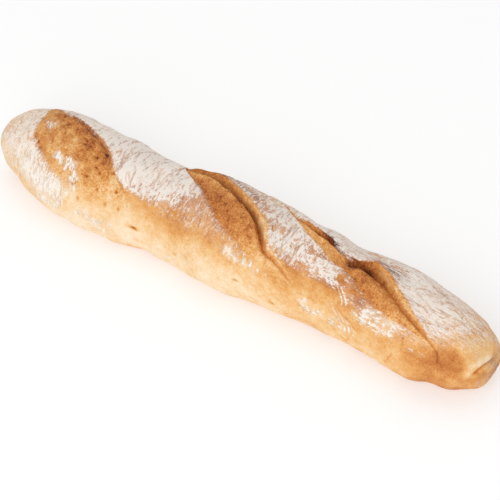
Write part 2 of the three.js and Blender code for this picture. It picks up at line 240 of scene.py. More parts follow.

# Pits in the crust, darkened with painted shade: (x, phi, half length, half girth)
PITS = [
    (-100, 14, 1.2, 0.8),
    (-97, 25, 1.5, 0.9),
    (-93, 29, 1.0, 0.8),
    (-100, 38, 1.3, 1.1),
    (-83, 62, 1.0, 1.3),
    (-78, 41, 0.9, 1.4),
    (-101, 66, 0.9, 1.2),
    (-145, 30, 1.1, 0.9),
    (-124, -23, 1.4, 1.0),
    (-96, 5, 1.4, 0.9),
    (-85, 22, 1.1, 0.9),
    (-112, 8, 1.0, 0.8),
    (-60, 76, 2.6, 1.3),
    (-90, 47, 0.9, 0.9),
    (-73, 60, 0.8, 1.3),
    (18, 84, 2.4, 0.9),
    (-28, 88, 1.6, 0.8),
    (44, 92, 2.0, 0.8),
]

# The near side's wrinkles: x of their main line against phi, how far each lies from it and how strong it
# is, their half width, and the degrees over which they fade in and out
WRINKLE_LINE = [(28, 79), (46, 87), (63, 92), (80, 99), (96, 99)]
WRINKLES = [(-7, 0.5), (-3.6, 0.8), (0, 1.0), (3.0, 0.7)]
WRINKLE_HALF_WIDTH = 0.9
WRINKLE_SPAN = (24, 34, 80, 98)

# Fields of fine cracks: x from and to, phi from and to, how many, their lean from the loaf's length, seed
CRACK_FIELDS = [
    (-98, -34, -16, 30, 34, 72, 1),
    (20, 84, -20, 34, 24, 55, 2),
    (104, 172, -34, 26, 34, 12, 3),
    (-178, -128, -30, 100, 26, 66, 4),
    (-60, 130, 60, 105, 22, 20, 5),
]
FINE_CRACK_HALF_WIDTH = 0.42
# Single cracks through (x, phi)
CRACKS = [
    [(155.9, 49), (156.6, 54), (157.9, 60), (158.1, 67)],
    [(156.2, 50), (157.6, 57), (158.4, 63)],
    [(133.4, 52), (135, 60)],
    [(130.4, 78), (128, 88), (125.6, 97)],
    [(122, 14), (130, 10), (137, 9), (142, 13)],
    [(-79, -1), (-81, -20), (-78, -43)],
    [(-71.7, 31), (-73.4, 10)],
    [(-59.7, 17.6), (-58, -7)],
    [(-54.8, 21), (-53, 0)],
    [(100.9, 80), (99, 92), (96, 101)],
    [(150.4, 17), (154, 12), (158.6, 10)],
    [(126, -8), (131, -15), (137, -18)],
]
CRACK_HALF_WIDTH = 0.62

# How deeply the crust is baked, from 0 (pale) to 1 (burnt): against degrees from the top, what the sides
# add to it along x, and how much paler the tops of the two ends are
BAKE_ROUND = [
    (0, 0.62), (32, 0.60), (48, 0.44), (62, 0.30), (80, 0.22), (102, 0.15), (120, 0.22), (142, 0.48),
    (180, 0.52),
]
BAKE_ALONG = [
    (-186, -0.02), (-160, -0.06), (-80, 0), (0, 0.03), (60, 0.08), (120, 0.20), (146, 0.32), (170, 0.38),
]
LEFT_CAP_PALER, RIGHT_END_PALER = 0.16, 0.14
FAR_SIDE_PAINTED_SHADE = 0.12  # painted shade that darkens the far side's upper part
# Browner and paler places, some of them painted shade as marked: (x, phi, half length, half girth, amount)
BAKE_AND_SHADE_PLACES = [
    # painted shade in the hollow behind the third ear's peak
    (110, -13, 12, 5, 0.16),
    (-150, 92, 26, 16, 0.20),
    (-172, 60, 12, 16, 0.08),
    (-150, -66, 22, 12, 0.14),
    (78, 36, 16, 5, 0.14),
    (84, 68, 14, 6, -0.10),
    # painted shade: a dusky spot below the third bloom's near edge
    (99, 43, 5, 5, 0.30),
    (52, 53, 13, 8, 0.10),
    (-40, 54, 20, 8, 0.10),
    (178, 20, 9, 12, -0.10),
    (160, 62, 8, 8, 0.14),
    (166, 50, 7, 8, 0.20),
    (150, 104, 20, 10, 0.12),
    # painted shade in the deep pit at x -60
    (-60, 77, 4, 1.6, 0.34),
]
# Each cut's bloom and wall along x, and how much painted shade darkens its crevice
BLOOM_BAKE = [
    [(-150, 0.56), (-120, 0.50), (-95, 0.52), (-80, 0.40), (-66, 0.30)],
    [(-50, 0.66), (-36, 0.72), (-10, 0.74), (12, 0.68), (30, 0.50), (50, 0.38)],
    [(30, 0.52), (60, 0.50), (76, 0.58), (88, 0.70), (104, 0.70), (116, 0.62), (128, 0.56), (150, 0.46)],
]
WALL_BAKE = [
    [(-150, 0.75), (-60, 0.6)],
    [(-50, 0.60), (-34, 0.54), (-16, 0.46), (8, 0.38), (32, 0.34), (50, 0.38)],
    [(30, 0.42), (50, 0.48), (60, 0.78), (84, 0.82), (92, 0.74), (100, 0.52), (110, 0.46), (150, 0.46)],
]
CREVICE_PAINTED_SHADE = [0.50, 0.52, 0.46]
# How much paler each bloom is at its lower end, and the phi over which it gets so
BLOOM_PALER = [(0.10, 36, 60), (0.14, 20, 44), (0, 20, 44)]
# The first bloom's browner middle: amount, distance from the crevice, half width, and its x
FIRST_BLOOM_CORE = (0.20, -3, 9, (-156, -140, -94, -82))
# The painted highlight on the second bloom's near lip: a paler strip beside the crevice, in the same way
SECOND_LIP_PAINTED_HIGHLIGHT = (0.20, -4, 3.0, (-52, -42, -14, 2))
# How much darker the cracks are, and how much painted shade darkens the pits and the ragged hollows under
# the third ear
CRACK_BAKE, PIT_PAINTED_SHADE, POCKET_PAINTED_SHADE = 0.25, 0.42, 0.34
# Edges of the cuts that are baked more, and in the last row painted shade in the hollow behind the third
# ear's peak: number of the cut, what the distance is measured from (its crevice or its ear's top in
# millimetres, or its bloom in shares of the bloom's reach), distance and half width, the x over which they
# come and go, how much browner they are, and the share of the flour that they lack
SCORCHED_AND_SHADED = [
    (0, "crevice", 0.6, 1.6, (-146, -132, -98, -88), 0.10, 0.6),
    (0, "bloom", 0.97, 0.05, (-158, -150, -128, -112), 0.12, 0),
    (1, "top", 0, 2.0, (-58, -46, -24, -10), 0.10, 0.7),
    (1, "top", 5, 6.0, (-40, -26, 4, 24), 0.24, 0.26),
    (2, "top", 0, 1.0, (34, 44, 66, 80), 0.30, 0),
    # painted shade in the hollow behind the third ear's peak, darker and with less flour
    (2, "top", 3.4, 3.4, (90, 98, 110, 124), 0.20, 0.34),
]

# The flour, along x: phi of its near edge, how many degrees that edge fades over, how thick it lies, phi to
# where it is dense, and phi of its far edge
FLOUR_EDGE = [
    (-186, 108), (-170, 98), (-155, 98), (-140, 102), (-126, 104), (-114, 90), (-104, 50), (-95, 20),
    (-80, 30), (-65, 36), (-50, 42), (-20, 50), (5, 50), (22, 56), (38, 42), (60, 40), (85, 46),
    (105, 58), (130, 54), (150, 50), (165, 38), (176, 20), (184, -10),
]
FLOUR_SOFTNESS = [
    (-150, 16), (-104, 7), (-64, 7), (-44, 16), (10, 18), (40, 9), (80, 10), (130, 16), (180, 20),
]
FLOUR_STRENGTH = [
    (-186, 1.05), (-165, 1.02), (-145, 1.0), (-128, 1.0), (-100, 1.16), (-60, 1.20), (-40, 1.06),
    (-10, 0.90), (10, 0.76), (30, 0.98), (60, 1.0), (85, 0.84), (105, 0.84), (130, 1.04), (160, 1.0),
    (178, 0.55),
]
DENSE_EDGE = [
    (-186, 60), (-168, 62), (-155, 68), (-140, 80), (-128, 88), (-114, 60), (-104, 14), (-80, 27),
    (-65, 34), (-50, 28), (-35, 16), (-15, 0), (15, 4), (28, 26), (42, 28), (60, 26), (78, 20),
    (92, -14), (108, 0), (120, 24), (140, 30), (158, 24), (172, 4), (186, -20),
]
FAR_EDGE = [
    (-186, -130), (-150, -104), (-120, -82), (-90, -74), (80, -72), (130, -56), (160, -44), (186, -40),
]
# Extra flour in single places: (x, phi, half length, half girth, amount)
FLOUR_SPOTS = [
    (-143, 4, 8, 5, 0.56),
    (-135, 20, 5, 4, 0.34),
    (-121, 35, 6, 4, 1.25),
    (-114, 31, 5, 3.4, 1.1),
    (-108, 44, 4, 3, 0.85),
    (-105, 55, 4, 3, 0.60),
    (-103, 64, 4, 3, 0.55),
    (-97, 86, 10, 6, 0.7),
    (-106, 43, 3.4, 3, 0.6),
    (-80, 92, 9, 5, 0.5),
    (65, 24, 12, 4, 0.35),
    (65, 72, 7, 4.5, 0.8),
    (73, 80, 8, 4.5, 0.8),
    (87, 80, 7, 4.5, 0.75),
    (103, 56, 7, 4.5, 0.5),
    (110, 50, 8, 4.4, 0.46),
    (121, 62, 8, 5.4, 0.42),
    (125, 49, 5, 3, 0.4),
    (10, 52, 8, 4, 0.5),
    (20, 58, 8, 4, 0.45),
    (30, 61, 6, 3, 0.45),
    (38, 57, 5, 2.5, 0.35),
    (47, 54, 4, 2, 0.3),
    (-30, 96, 6, 3, 0.35),
    (185, 100, 4, 14, 0.55),
    (176, 30, 10, 8, 0.30),
    (143, 62, 6, 4, 0.30),
    # less flour, for the painted shade below the third bloom's near edge
    (94, 34, 6, 4, -0.22),
]
# Flour on the wrinkles, at the two tips, and at its thickest
WRINKLE_FLOUR = 0.90
LEFT_TIP_FLOUR, RIGHT_TIP_FLOUR = 0.80, 0.28
THICKEST_FLOUR = 1.4
# Bare gaps aslant in the right and the left floured band: amount, size and seed of their noise, the noise
# levels between which they open, the x over which they come and go, and the phi over which they grow
SLANT_GAPS = [
    (0.62, 6.0, 67, (0.02, 0.42), (8, 30, 78, 100), (-34, 16)),
    (0.40, 5.0, 68, (0.05, 0.45), (-102, -92, -44, -20), (-8, 26)),
]

# Crust colours from barely baked to burnt, as 8-bit display values, and the flour's
CRUST = [
    (0.00, (247, 227, 199)),
    (0.15, (243, 214, 176)),
    (0.30, (237, 194, 138)),
    (0.47, (227, 166, 96)),
    (0.62, (208, 137, 70)),
    (0.78, (185, 108, 48)),
    (0.90, (146, 80, 34)),
    (1.00, (96, 52, 24)),
]
FLOUR = (246, 238, 229)

FLOOR = (205, 205, 205)
FLOOR_GLOW = 0.42
FLOOR_HALF = 3.0  # metres, as in all that follows
FLOOR_LEVEL = -0.0002  # just under the loaf's flat base, so that the two don't lie in one plane
KEY_SIZE, KEY_POWER, KEY_DISTANCE = 1.1, 10.4, 1.6  # power in watts
TOP_SIZE, TOP_POWER = 1.2, 3
SKY_LIGHT = 0.66
CAMERA_AZIMUTH, CAMERA_ELEVATION, CAMERA_DISTANCE = 32.0, 48.0, 1.25
CAMERA_TARGET = (0.0122, -0.00527, 0.026)
CAMERA_LENS, CAMERA_SENSOR = 141.9, 36.0  # millimetres


def ramp(v, low, high):
    """0 up to low, 1 from high on, and smooth between them."""
    t = np.clip((np.asarray(v, float) - low) / (high - low), 0, 1)
    return t * t * (3 - 2 * t)


def window(v, a, b, c, d):
    """Rises from 0 to 1 between a and b, and falls back between c and d."""
    return ramp(v, a, b) * (1 - ramp(v, c, d))


def bell(v, half_width):
    return np.exp(-((v / half_width) ** 2))


def place_bell(x, phi, place_x, place_phi, half_x, half_w):
    """1 at a place on the crust, fading out round it."""
    return bell(np.hypot((x - place_x) / half_x, (phi - place_phi) * MM_PER_DEGREE / half_w), 1)


def curve(v, points, open_ends=False):
    """A smooth curve through (v, value) points: level past both ends, or straight on if open_ends."""
    xs = np.array([p[0] for p in points], float)
    ys = np.array([p[1] for p in points], float)
    slopes = np.gradient(ys, xs)
    if not open_ends:
        slopes[0] = slopes[-1] = 0
    inside = np.clip(v, xs[0], xs[-1])
    i = np.clip(np.searchsorted(xs, inside, side="right") - 1, 0, len(xs) - 2)
    h = xs[i + 1] - xs[i]
    t = (inside - xs[i]) / h
    value = (
        (2 * t**3 - 3 * t**2 + 1) * ys[i]
        + (t**3 - 2 * t**2 + t) * h * slopes[i]
        + (3 * t**2 - 2 * t**3) * ys[i + 1]
        + (t**3 - t**2) * h * slopes[i + 1]
    )
    return value + np.minimum(v - xs[0], 0) * slopes[0] + np.maximum(v - xs[-1], 0) * slopes[-1]


def stations(values):
    """The values as points of a curve, spread evenly from tip to tip."""
    return [(-HALF + LENGTH * i / (len(values) - 1), value) for i, value in enumerate(values)]


WIDTH_POINTS = stations(HALF_WIDTHS)
SWAY_POINTS = stations(SWAYS)


def cap_share(x):
    """The share of its full girth that the loaf has at x: 1 along the middle, 0 at its two tips."""
    left = np.clip((-x - (HALF - LEFT_CAP_LENGTH)) / LEFT_CAP_LENGTH, 0, 1)
    right = np.clip((x - (HALF - RIGHT_CAP_LENGTH)) / RIGHT_CAP_LENGTH, 0, 1)
    left_share = (1 - left**LEFT_CAP_POWER) ** (1 / LEFT_CAP_POWER)
    return left_share * (1 - right**RIGHT_CAP_POWER) ** (1 / RIGHT_CAP_POWER)


def girth(x):
    """Half the loaf's width at x."""
    return curve(x, WIDTH_POINTS, True) * cap_share(x)


def signed_power(v, power):
    return np.sign(v) * np.abs(v) ** power


def body(x, phi):
    """Points of the plain body's surface."""
    width = curve(x, WIDTH_POINTS, True)
    share = cap_share(x)
    s, c = np.sin(np.radians(phi)), np.cos(np.radians(phi))
    power = np.where(c > 0, 2 / UPPER_POWER, 2 / LOWER_POWER)
    height = 2 * width * HEIGHT_SHARE
    belly = height * BELLY_SHARE
    rise = np.where(c > 0, height - belly, belly + UNDERCUT) * share
    y = curve(x, SWAY_POINTS, True) - width * share * signed_power(s, power)
    return np.stack(np.broadcast_arrays(x, y, belly + rise * signed_power(c, power)), -1)


def unit(v):
    return v / (np.linalg.norm(v, axis=-1, keepdims=True) + 1e-12)


def across(cut, x, phi):
    """Distance over the crust from a cut's crevice, positive on the ear's side, and its slope."""
    centre = curve(x, cut["line"], True) * MM_PER_DEGREE
    slope = (curve(x + 0.5, cut["line"], True) * MM_PER_DEGREE - centre) / 0.5
    return (centre - phi * MM_PER_DEGREE) / np.sqrt(1 + slope**2), slope


def live(cut, x):
    """The share of a cut's relief that is there at x: it fades in and out past the cut's two ends."""
    start, end = cut["line"][0][0], cut["line"][-1][0]
    return window(x, start + LIVE_FROM[0], start + LIVE_FROM[1], end + LIVE_TO[0], end + LIVE_TO[1])


def fold_distance(x, phi):
    """Distance from the end's folded seam, positive towards the tip."""
    line = curve(phi, FOLD_LINE)
    return np.sign(x - line) * np.hypot(x - line, girth(x) - girth(line))


def hash_unit(ix, iy, iz, seed):
    """A number from 0 to 1 for each lattice point."""
    n = (
        ix.astype(np.int64) * 73856093
        ^ iy.astype(np.int64) * 19349663
        ^ iz.astype(np.int64) * 83492791
        ^ np.int64(seed * 7919 + 13)
    )
    n = (n ^ (n >> 13)) * 1274126177 & 0x7FFFFFFF
    n = (n ^ (n >> 11)) * 668265263 & 0x7FFFFFFF
    return ((n ^ (n >> 15)) & 0xFFFFFF) / 0xFFFFFF


def lattice_noise(p, size, seed):
    """Smooth noise from -1 to 1 with lumps of that size, in millimetres."""
    q = p / size
    cell = np.floor(q).astype(np.int64)
    f = q - cell
    f = f * f * f * (f * (f * 6 - 15) + 10)
    total = 0
    for dx in (0, 1):
        for dy in (0, 1):
            for dz in (0, 1):
                weight = (
                    (f[..., 0] if dx else 1 - f[..., 0])
                    * (f[..., 1] if dy else 1 - f[..., 1])
                    * (f[..., 2] if dz else 1 - f[..., 2])
                )
                corner = hash_unit(cell[..., 0] + dx, cell[..., 1] + dy, cell[..., 2] + dz, seed)
                total = total + weight * corner
    return total * 2 - 1


def cloud(p, size, seed, octaves=3):
    """Noise of several sizes, each half the last."""
    total, weight, used = 0, 1.0, 0.0
    for k in range(octaves):
        total = total + weight * lattice_noise(p, size / 2**k, seed + k)
        used += weight
        weight *= 0.55
    return total / used


def ring_places():
    """x of the rings, evenly spaced over the loaf's side profile."""
    places = np.linspace(-HALF, HALF, 20001)
    run = np.concatenate([[0], np.cumsum(np.hypot(np.diff(places), np.diff(girth(places))))])
    return np.interp((np.arange(RINGS) + 0.5) / RINGS * run[-1], run, places)


def column_places(x):
    """phi of one ring's points, closer round the crevices and wider on the base."""
    phi = np.linspace(-180, 180, 1441)
    weight = BASE_CLOSENESS + SIDE_CLOSENESS * (1 - ramp(np.abs(phi), *SIDE_END))
    for cut in CUTS:
        d, _ = across(cut, x, phi)
        weight = weight + CREVICE_CLOSENESS * live(cut, x) * bell(d - 1, CREVICE_REACH)
    run = np.concatenate([[0], np.cumsum((weight[1:] + weight[:-1]) / 2)])
    return np.interp(np.arange(COLUMNS) / COLUMNS * run[-1], run, phi)


def cut_parts(cut, x, phi, ragged):
    """One cut's relief over the plain body, its push along the crust, and the masks of its surfaces."""
    d, slope = across(cut, x, phi)
    d = d + ragged
    near, wall = curve(x, cut["near"]), curve(x, cut["wall"])
    reach = np.maximum(curve(x, cut["bloom"]), 0.5)
    depth = curve(x, cut["depth"])
    foot, top = EAR_RISE[0] * wall, EAR_RISE[1] * wall
    on = live(cut, x)
    valley = np.where(d < 0, bell(d, near), np.exp(-((np.abs(d) / wall) ** WALL_POWER)))
    crest = ramp(d, foot, top) * bell(np.maximum(d - top, 0), cut["fall"])
    s = -d / reach
    mound = np.where((s > 0) & (s < 1), np.sin(np.pi * np.clip(s, 0, 1) ** SWELL_POWER), 0)
    step_from, step_full, edge = EDGE_STEP
    ledge = ramp(s, step_from, step_full) * (1 - ramp(s, edge, 1 + EDGE_WIDTH / np.maximum(reach, 2)))
    lip = bell(d + LIP_AWAY * near, LIP_WIDTH * near)
    height = (
        curve(x, cut["ear"]) * crest
        + curve(x, cut["swell"]) * mound
        + curve(x, cut["lip"]) * lip
        - depth * valley
        - curve(x, cut["step"]) * ledge
    )
    push = curve(x, cut["lean"]) * ramp(d, LEAN_START * wall, top) * bell(np.maximum(d - top, 0), LEAN_FADE)
    strip = top + curve(x, cut["rim"])
    torn_edge = s + 1.6 * ragged / np.maximum(reach, 4)
    torn = ramp(-d, -0.2, 0.6) * (1 - ramp(torn_edge, 0.86, 1.10)) * (1 - 0.8 * ramp(phi, *cut["fade"]))
    bare = ramp(d, -0.3, 0.4) * (1 - ramp(d, strip - 0.5, strip + 0.5)) * np.minimum(depth / 2.0, 1)
    # the crevice's shaded depths: painted shade darkens the crust there, and flour stays out
    shaded_crevice = np.where(d < 0, bell(d + 0.3, 0.75 * near), bell(d, 0.55 * wall)) * np.minimum(depth / 4.0, 1)
    masks = dict(d=d, s=s, top=top, torn=on * torn, wall=on * bare, shaded_crevice=on * shaded_crevice)
    return on * height, on * push, slope, masks


def surface(x, phi):
    """The plain body's points and normals, the relief and push over them, and the cuts' masks."""
    base = body(x, phi)
    step = 0.02
    along = unit(body(x + step, phi) - body(x - step, phi))
    girdle = unit(body(x, phi + step) - body(x, phi - step))
    normal = unit(np.cross(girdle, along))
    ragged = sum(amount * cloud(base, size, seed, octaves) for amount, size, seed, octaves in RAGGED)
    height = np.zeros(np.shape(x))
    shift = np.zeros(base.shape)
    parts = []
    for cut in CUTS:
        rise, push, slope, masks = cut_parts(cut, x, phi, ragged)
        height += rise
        shift += push[..., None] * unit(girdle - slope[..., None] * along)
        parts.append(masks)
    for *place, rise in SWELLS:
        height += rise * place_bell(x, phi, *place)
    for rise, along_x, turns, phase in WAVES:
        height += rise * cap_share(x) * np.sin(x / along_x + turns * np.radians(phi) + phase)
    fold = fold_distance(x, phi)
    fold_depth = curve(phi, FOLD_DEPTH)
    height -= fold_depth * bell(fold, FOLD_HALF_WIDTH)
    for away, half_width, rise in FOLD_PADS:
        height += rise * np.minimum(fold_depth / FOLD_PADS_FULL_AT, 1) * bell(fold - away, half_width)
    return base, normal, height, shift, parts


def pit_field(x, phi):
    field = np.zeros_like(x)
    for place in PITS:
        field = np.maximum(field, place_bell(x, phi, *place))
    return field


def wrinkle_field(x, phi, base):
    """Wavy floured wrinkles that run down the near side below the second band."""
    field = np.zeros_like(x)
    away = x - curve(phi, WRINKLE_LINE) - 1.6 * cloud(base, 7, 81, 2)
    for offset, strength in WRINKLES:
        field = np.maximum(field, strength * bell(away - offset, WRINKLE_HALF_WIDTH))
    return field * window(phi, *WRINKLE_SPAN)


def segment_distance(px, pw, ax, aw, bx, bw):
    """Distance over the crust from a line between two places, in millimetres."""
    length = (bx - ax) ** 2 + (bw - aw) ** 2
    t = np.clip(((px - ax) * (bx - ax) + (pw - aw) * (bw - aw)) / length, 0, 1)
    return np.hypot(px - ax - t * (bx - ax), pw - aw - t * (bw - aw))


def crack_field(x, w, base):
    """Thin cracks in the floured skin: round the loaf on its left part, more along it to the right."""
    field = np.zeros_like(x)
    wander = np.abs(cloud(base, 3.0, 91, 2))
    for low, high, low_phi, high_phi, count, lean, seed in CRACK_FIELDS:
        rng = np.random.default_rng(seed)
        for _ in range(count):
            cx, cw = rng.uniform(low, high), rng.uniform(low_phi, high_phi) * MM_PER_DEGREE
            angle = math.radians(lean + rng.uniform(-16, 16))
            half, bend = rng.uniform(1.5, 7), rng.uniform(-0.3, 0.3)
            strength = rng.uniform(0.25, 0.9)
            ends = []
            for t in (-1, 0, 1):
                turned = angle + bend * t
                ends.append((cx + t * half * math.cos(turned), cw + t * half * math.sin(turned)))
            for (ax, aw), (bx, bw) in zip(ends, ends[1:]):
                d = segment_distance(x, w, ax, aw, bx, bw)
                field = np.maximum(field, strength * bell(d, FINE_CRACK_HALF_WIDTH))
    for line in CRACKS:
        for (ax, aphi), (bx, bphi) in zip(line, line[1:]):
            d = segment_distance(x, w, ax, aphi * MM_PER_DEGREE, bx, bphi * MM_PER_DEGREE)
            field = np.maximum(field, 0.9 * bell(d + 0.8 * wander, CRACK_HALF_WIDTH))
    return field


def scorched_and_shaded(x, parts):
    """How much browner the scorched edges of the cuts are, with painted shade behind the third ear's peak,
    and the share of flour that stays on them.
    """
    browner, flour_left = np.zeros_like(x), np.ones_like(x)
    for number, start, away, half_width, span, bake_and_shade, lacking in SCORCHED_AND_SHADED:
        p = parts[number]
        distance = {"crevice": p["d"], "top": p["d"] - p["top"], "bloom": p["s"]}[start]
        here = bell(distance - away, half_width) * window(x, *span)
        browner += bake_and_shade * here
        flour_left *= 1 - lacking * here
    return browner, flour_left


def plain_bake_and_shade(x, phi, base):
    """How deeply the plain skin is baked, darkened in some places by painted shade. Towards the two tips the
    underside takes the sides' tone.
    """
    side = np.minimum(np.abs(phi), 180 - 84 * ramp(np.abs(x), HALF - 26, HALF - 2))
    sides = ramp(side, 40, 70)
    bake_and_shade = curve(side, BAKE_ROUND)
    bake_and_shade = bake_and_shade + curve(x, BAKE_ALONG) * sides * (1 - 0.6 * ramp(side, 116, 150))
    bake_and_shade = bake_and_shade - LEFT_CAP_PALER * (1 - ramp(x, -168, -140)) * (1 - sides)
    bake_and_shade = bake_and_shade - RIGHT_END_PALER * ramp(x, 130, 165) * (1 - ramp(side, 24, 50))
    for *place, amount in BAKE_AND_SHADE_PLACES:
        bake_and_shade = bake_and_shade + amount * place_bell(x, phi, *place)
    return bake_and_shade + 0.09 * cloud(base, 30, 41, 2) + 0.14 * cloud(base, 13, 43, 3)


def cut_tone_with_painted_light(bake_and_shade, x, phi, base, parts, crumb):
    """The tone of the torn dough and the ears' walls over the plain skin's, with painted shade in the
    crevices and a painted highlight on the second cut's near lip.
    """
    for number, p in enumerate(parts):
        paler, pale_from, pale_to = BLOOM_PALER[number]
        tone = curve(x, BLOOM_BAKE[number]) + 0.10 * crumb + 0.07 * cloud(base, 12, 51 + number, 2)
        tone = tone - paler * ramp(phi, pale_from, pale_to)
        if number == 0:
            browner, away, half_width, span = FIRST_BLOOM_CORE
            tone = tone + browner * bell(p["d"] - away, half_width) * window(x, *span)
            tone = tone + 0.16 * cloud(base, 6, 55, 2)
        bake_and_shade = bake_and_shade + p["torn"] * (tone - bake_and_shade)
        bake_and_shade = bake_and_shade + p["wall"] * (curve(x, WALL_BAKE[number]) + 0.06 * crumb - bake_and_shade)
        # painted shade in the crevice
        bake_and_shade = bake_and_shade + CREVICE_PAINTED_SHADE[number] * p["shaded_crevice"] * (1 - bake_and_shade)
    # painted highlight: the second bloom's near lip is made paler
    paler, away, half_width, span = SECOND_LIP_PAINTED_HIGHLIGHT
    return bake_and_shade - paler * bell(parts[1]["d"] - away, half_width) * window(x, *span) * parts[1]["torn"]


def seam_bake(x, phi):
    """The paler pad and corner beside the end's folded seam, and its dark line."""
    fold = fold_distance(x, phi)
    pad = bell(fold + 4.4, 3.0) * window(phi, 0, 20, 62, 84)
    line = bell(fold, 0.8) * window(phi, -20, 10, 60, 76)
    return 0.22 * line - 0.26 * pad - 0.22 * place_bell(x, phi, 177.5, 68, 2.4, 4.5)


def flour_cover(x, phi, base, dense_edge, bare, shaded_crevice, flour_left, wrinkles):
    """How thick the flour lies."""
    edge = curve(x, FLOUR_EDGE) + 7 * cloud(base, 16, 61, 3)
    far_edge = curve(x, FAR_EDGE) + 10 * cloud(base, 22, 63, 3)
    flour = curve(x, FLOUR_STRENGTH) * ramp((edge - phi) / curve(x, FLOUR_SOFTNESS), -0.7, 1)
    flour = flour * ramp(phi - far_edge, -12, 12)
    flour = flour * (0.52 + 0.48 * ramp(dense_edge - phi, -7, 9))
    flour = flour * (1 + 0.24 * cloud(base, 13, 65, 3))
    w = phi * MM_PER_DEGREE
    # places turned and stretched over the crust, so that a noise at them runs aslant
    slanted = np.stack([0.35 * x + 0.5 * w, 0.9 * w - 0.6 * x, 0 * x], -1)
    for amount, size, seed, contrast, span, grow in SLANT_GAPS:
        gaps = ramp(cloud(slanted, size, seed, 4), *contrast) * window(x, *span) * ramp(phi, *grow)
        flour = flour - amount * gaps
    flour = flour * (1 - bare) * flour_left
    flecks = 0.25 + 1.25 * ramp(cloud(base, 2.6, 71, 3), -0.25, 0.35)
    for *place, amount in FLOUR_SPOTS:
        flour = flour + amount * place_bell(x, phi, *place) * (1 - shaded_crevice) * flecks
    flour = flour + (LEFT_TIP_FLOUR - flour) * ramp(-x, HALF - 18, HALF - 4)
    flour = flour + (RIGHT_TIP_FLOUR - flour) * ramp(x, HALF - 6, HALF - 1)
    flour = flour + WRINKLE_FLOUR * wrinkles * (0.5 + ramp(cloud(base, 9, 73, 2), -0.2, 0.3))
    return np.clip(flour, 0, THICKEST_FLOUR)


def grid_mesh(name, points, first_tip, last_tip):
    """A closed skin over rings of points, with a tip at both ends."""
    rings, columns = points.shape[:2]
    verts = np.vstack([points.reshape(-1, 3), [first_tip, last_tip]]) / 1000
    faces = []
    for i in range(rings - 1):
        for j in range(columns):
            k = (j + 1) % columns
            faces.append((i * columns + j, i * columns + k, (i + 1) * columns + k, (i + 1) * columns + j))
    last = (rings - 1) * columns
    for j in range(columns):
        k = (j + 1) % columns
        faces.append((rings * columns, k, j))
        faces.append((rings * columns + 1, last + j, last + k))
    mesh = bpy.data.meshes.new(name)
    mesh.from_pydata(verts.tolist(), [], faces)
    mesh.update()
    for polygon in mesh.polygons:
        polygon.use_smooth = True
    return mesh


def tip(x_end):
    """The point that closes an end."""
    centre = body(np.array(x_end), np.array(90.0))
    return [x_end, float(curve(x_end, SWAY_POINTS, True)), float(centre[2])]


def store(mesh, name, values):
    """Keeps a value for each point of the loaf; the two tips take their ring's mean."""
    values = np.asarray(values, float)
    if values.ndim == 3:
        full = np.vstack([values.reshape(-1, 3), values[0].mean(0), values[-1].mean(0)])
        mesh.attributes.new(name, "FLOAT_VECTOR", "POINT").data.foreach_set("vector", full.ravel())
    else:
        full = np.concatenate([values.ravel(), [values[0].mean(), values[-1].mean()]])
        mesh.attributes.new(name, "FLOAT", "POINT").data.foreach_set("value", full)


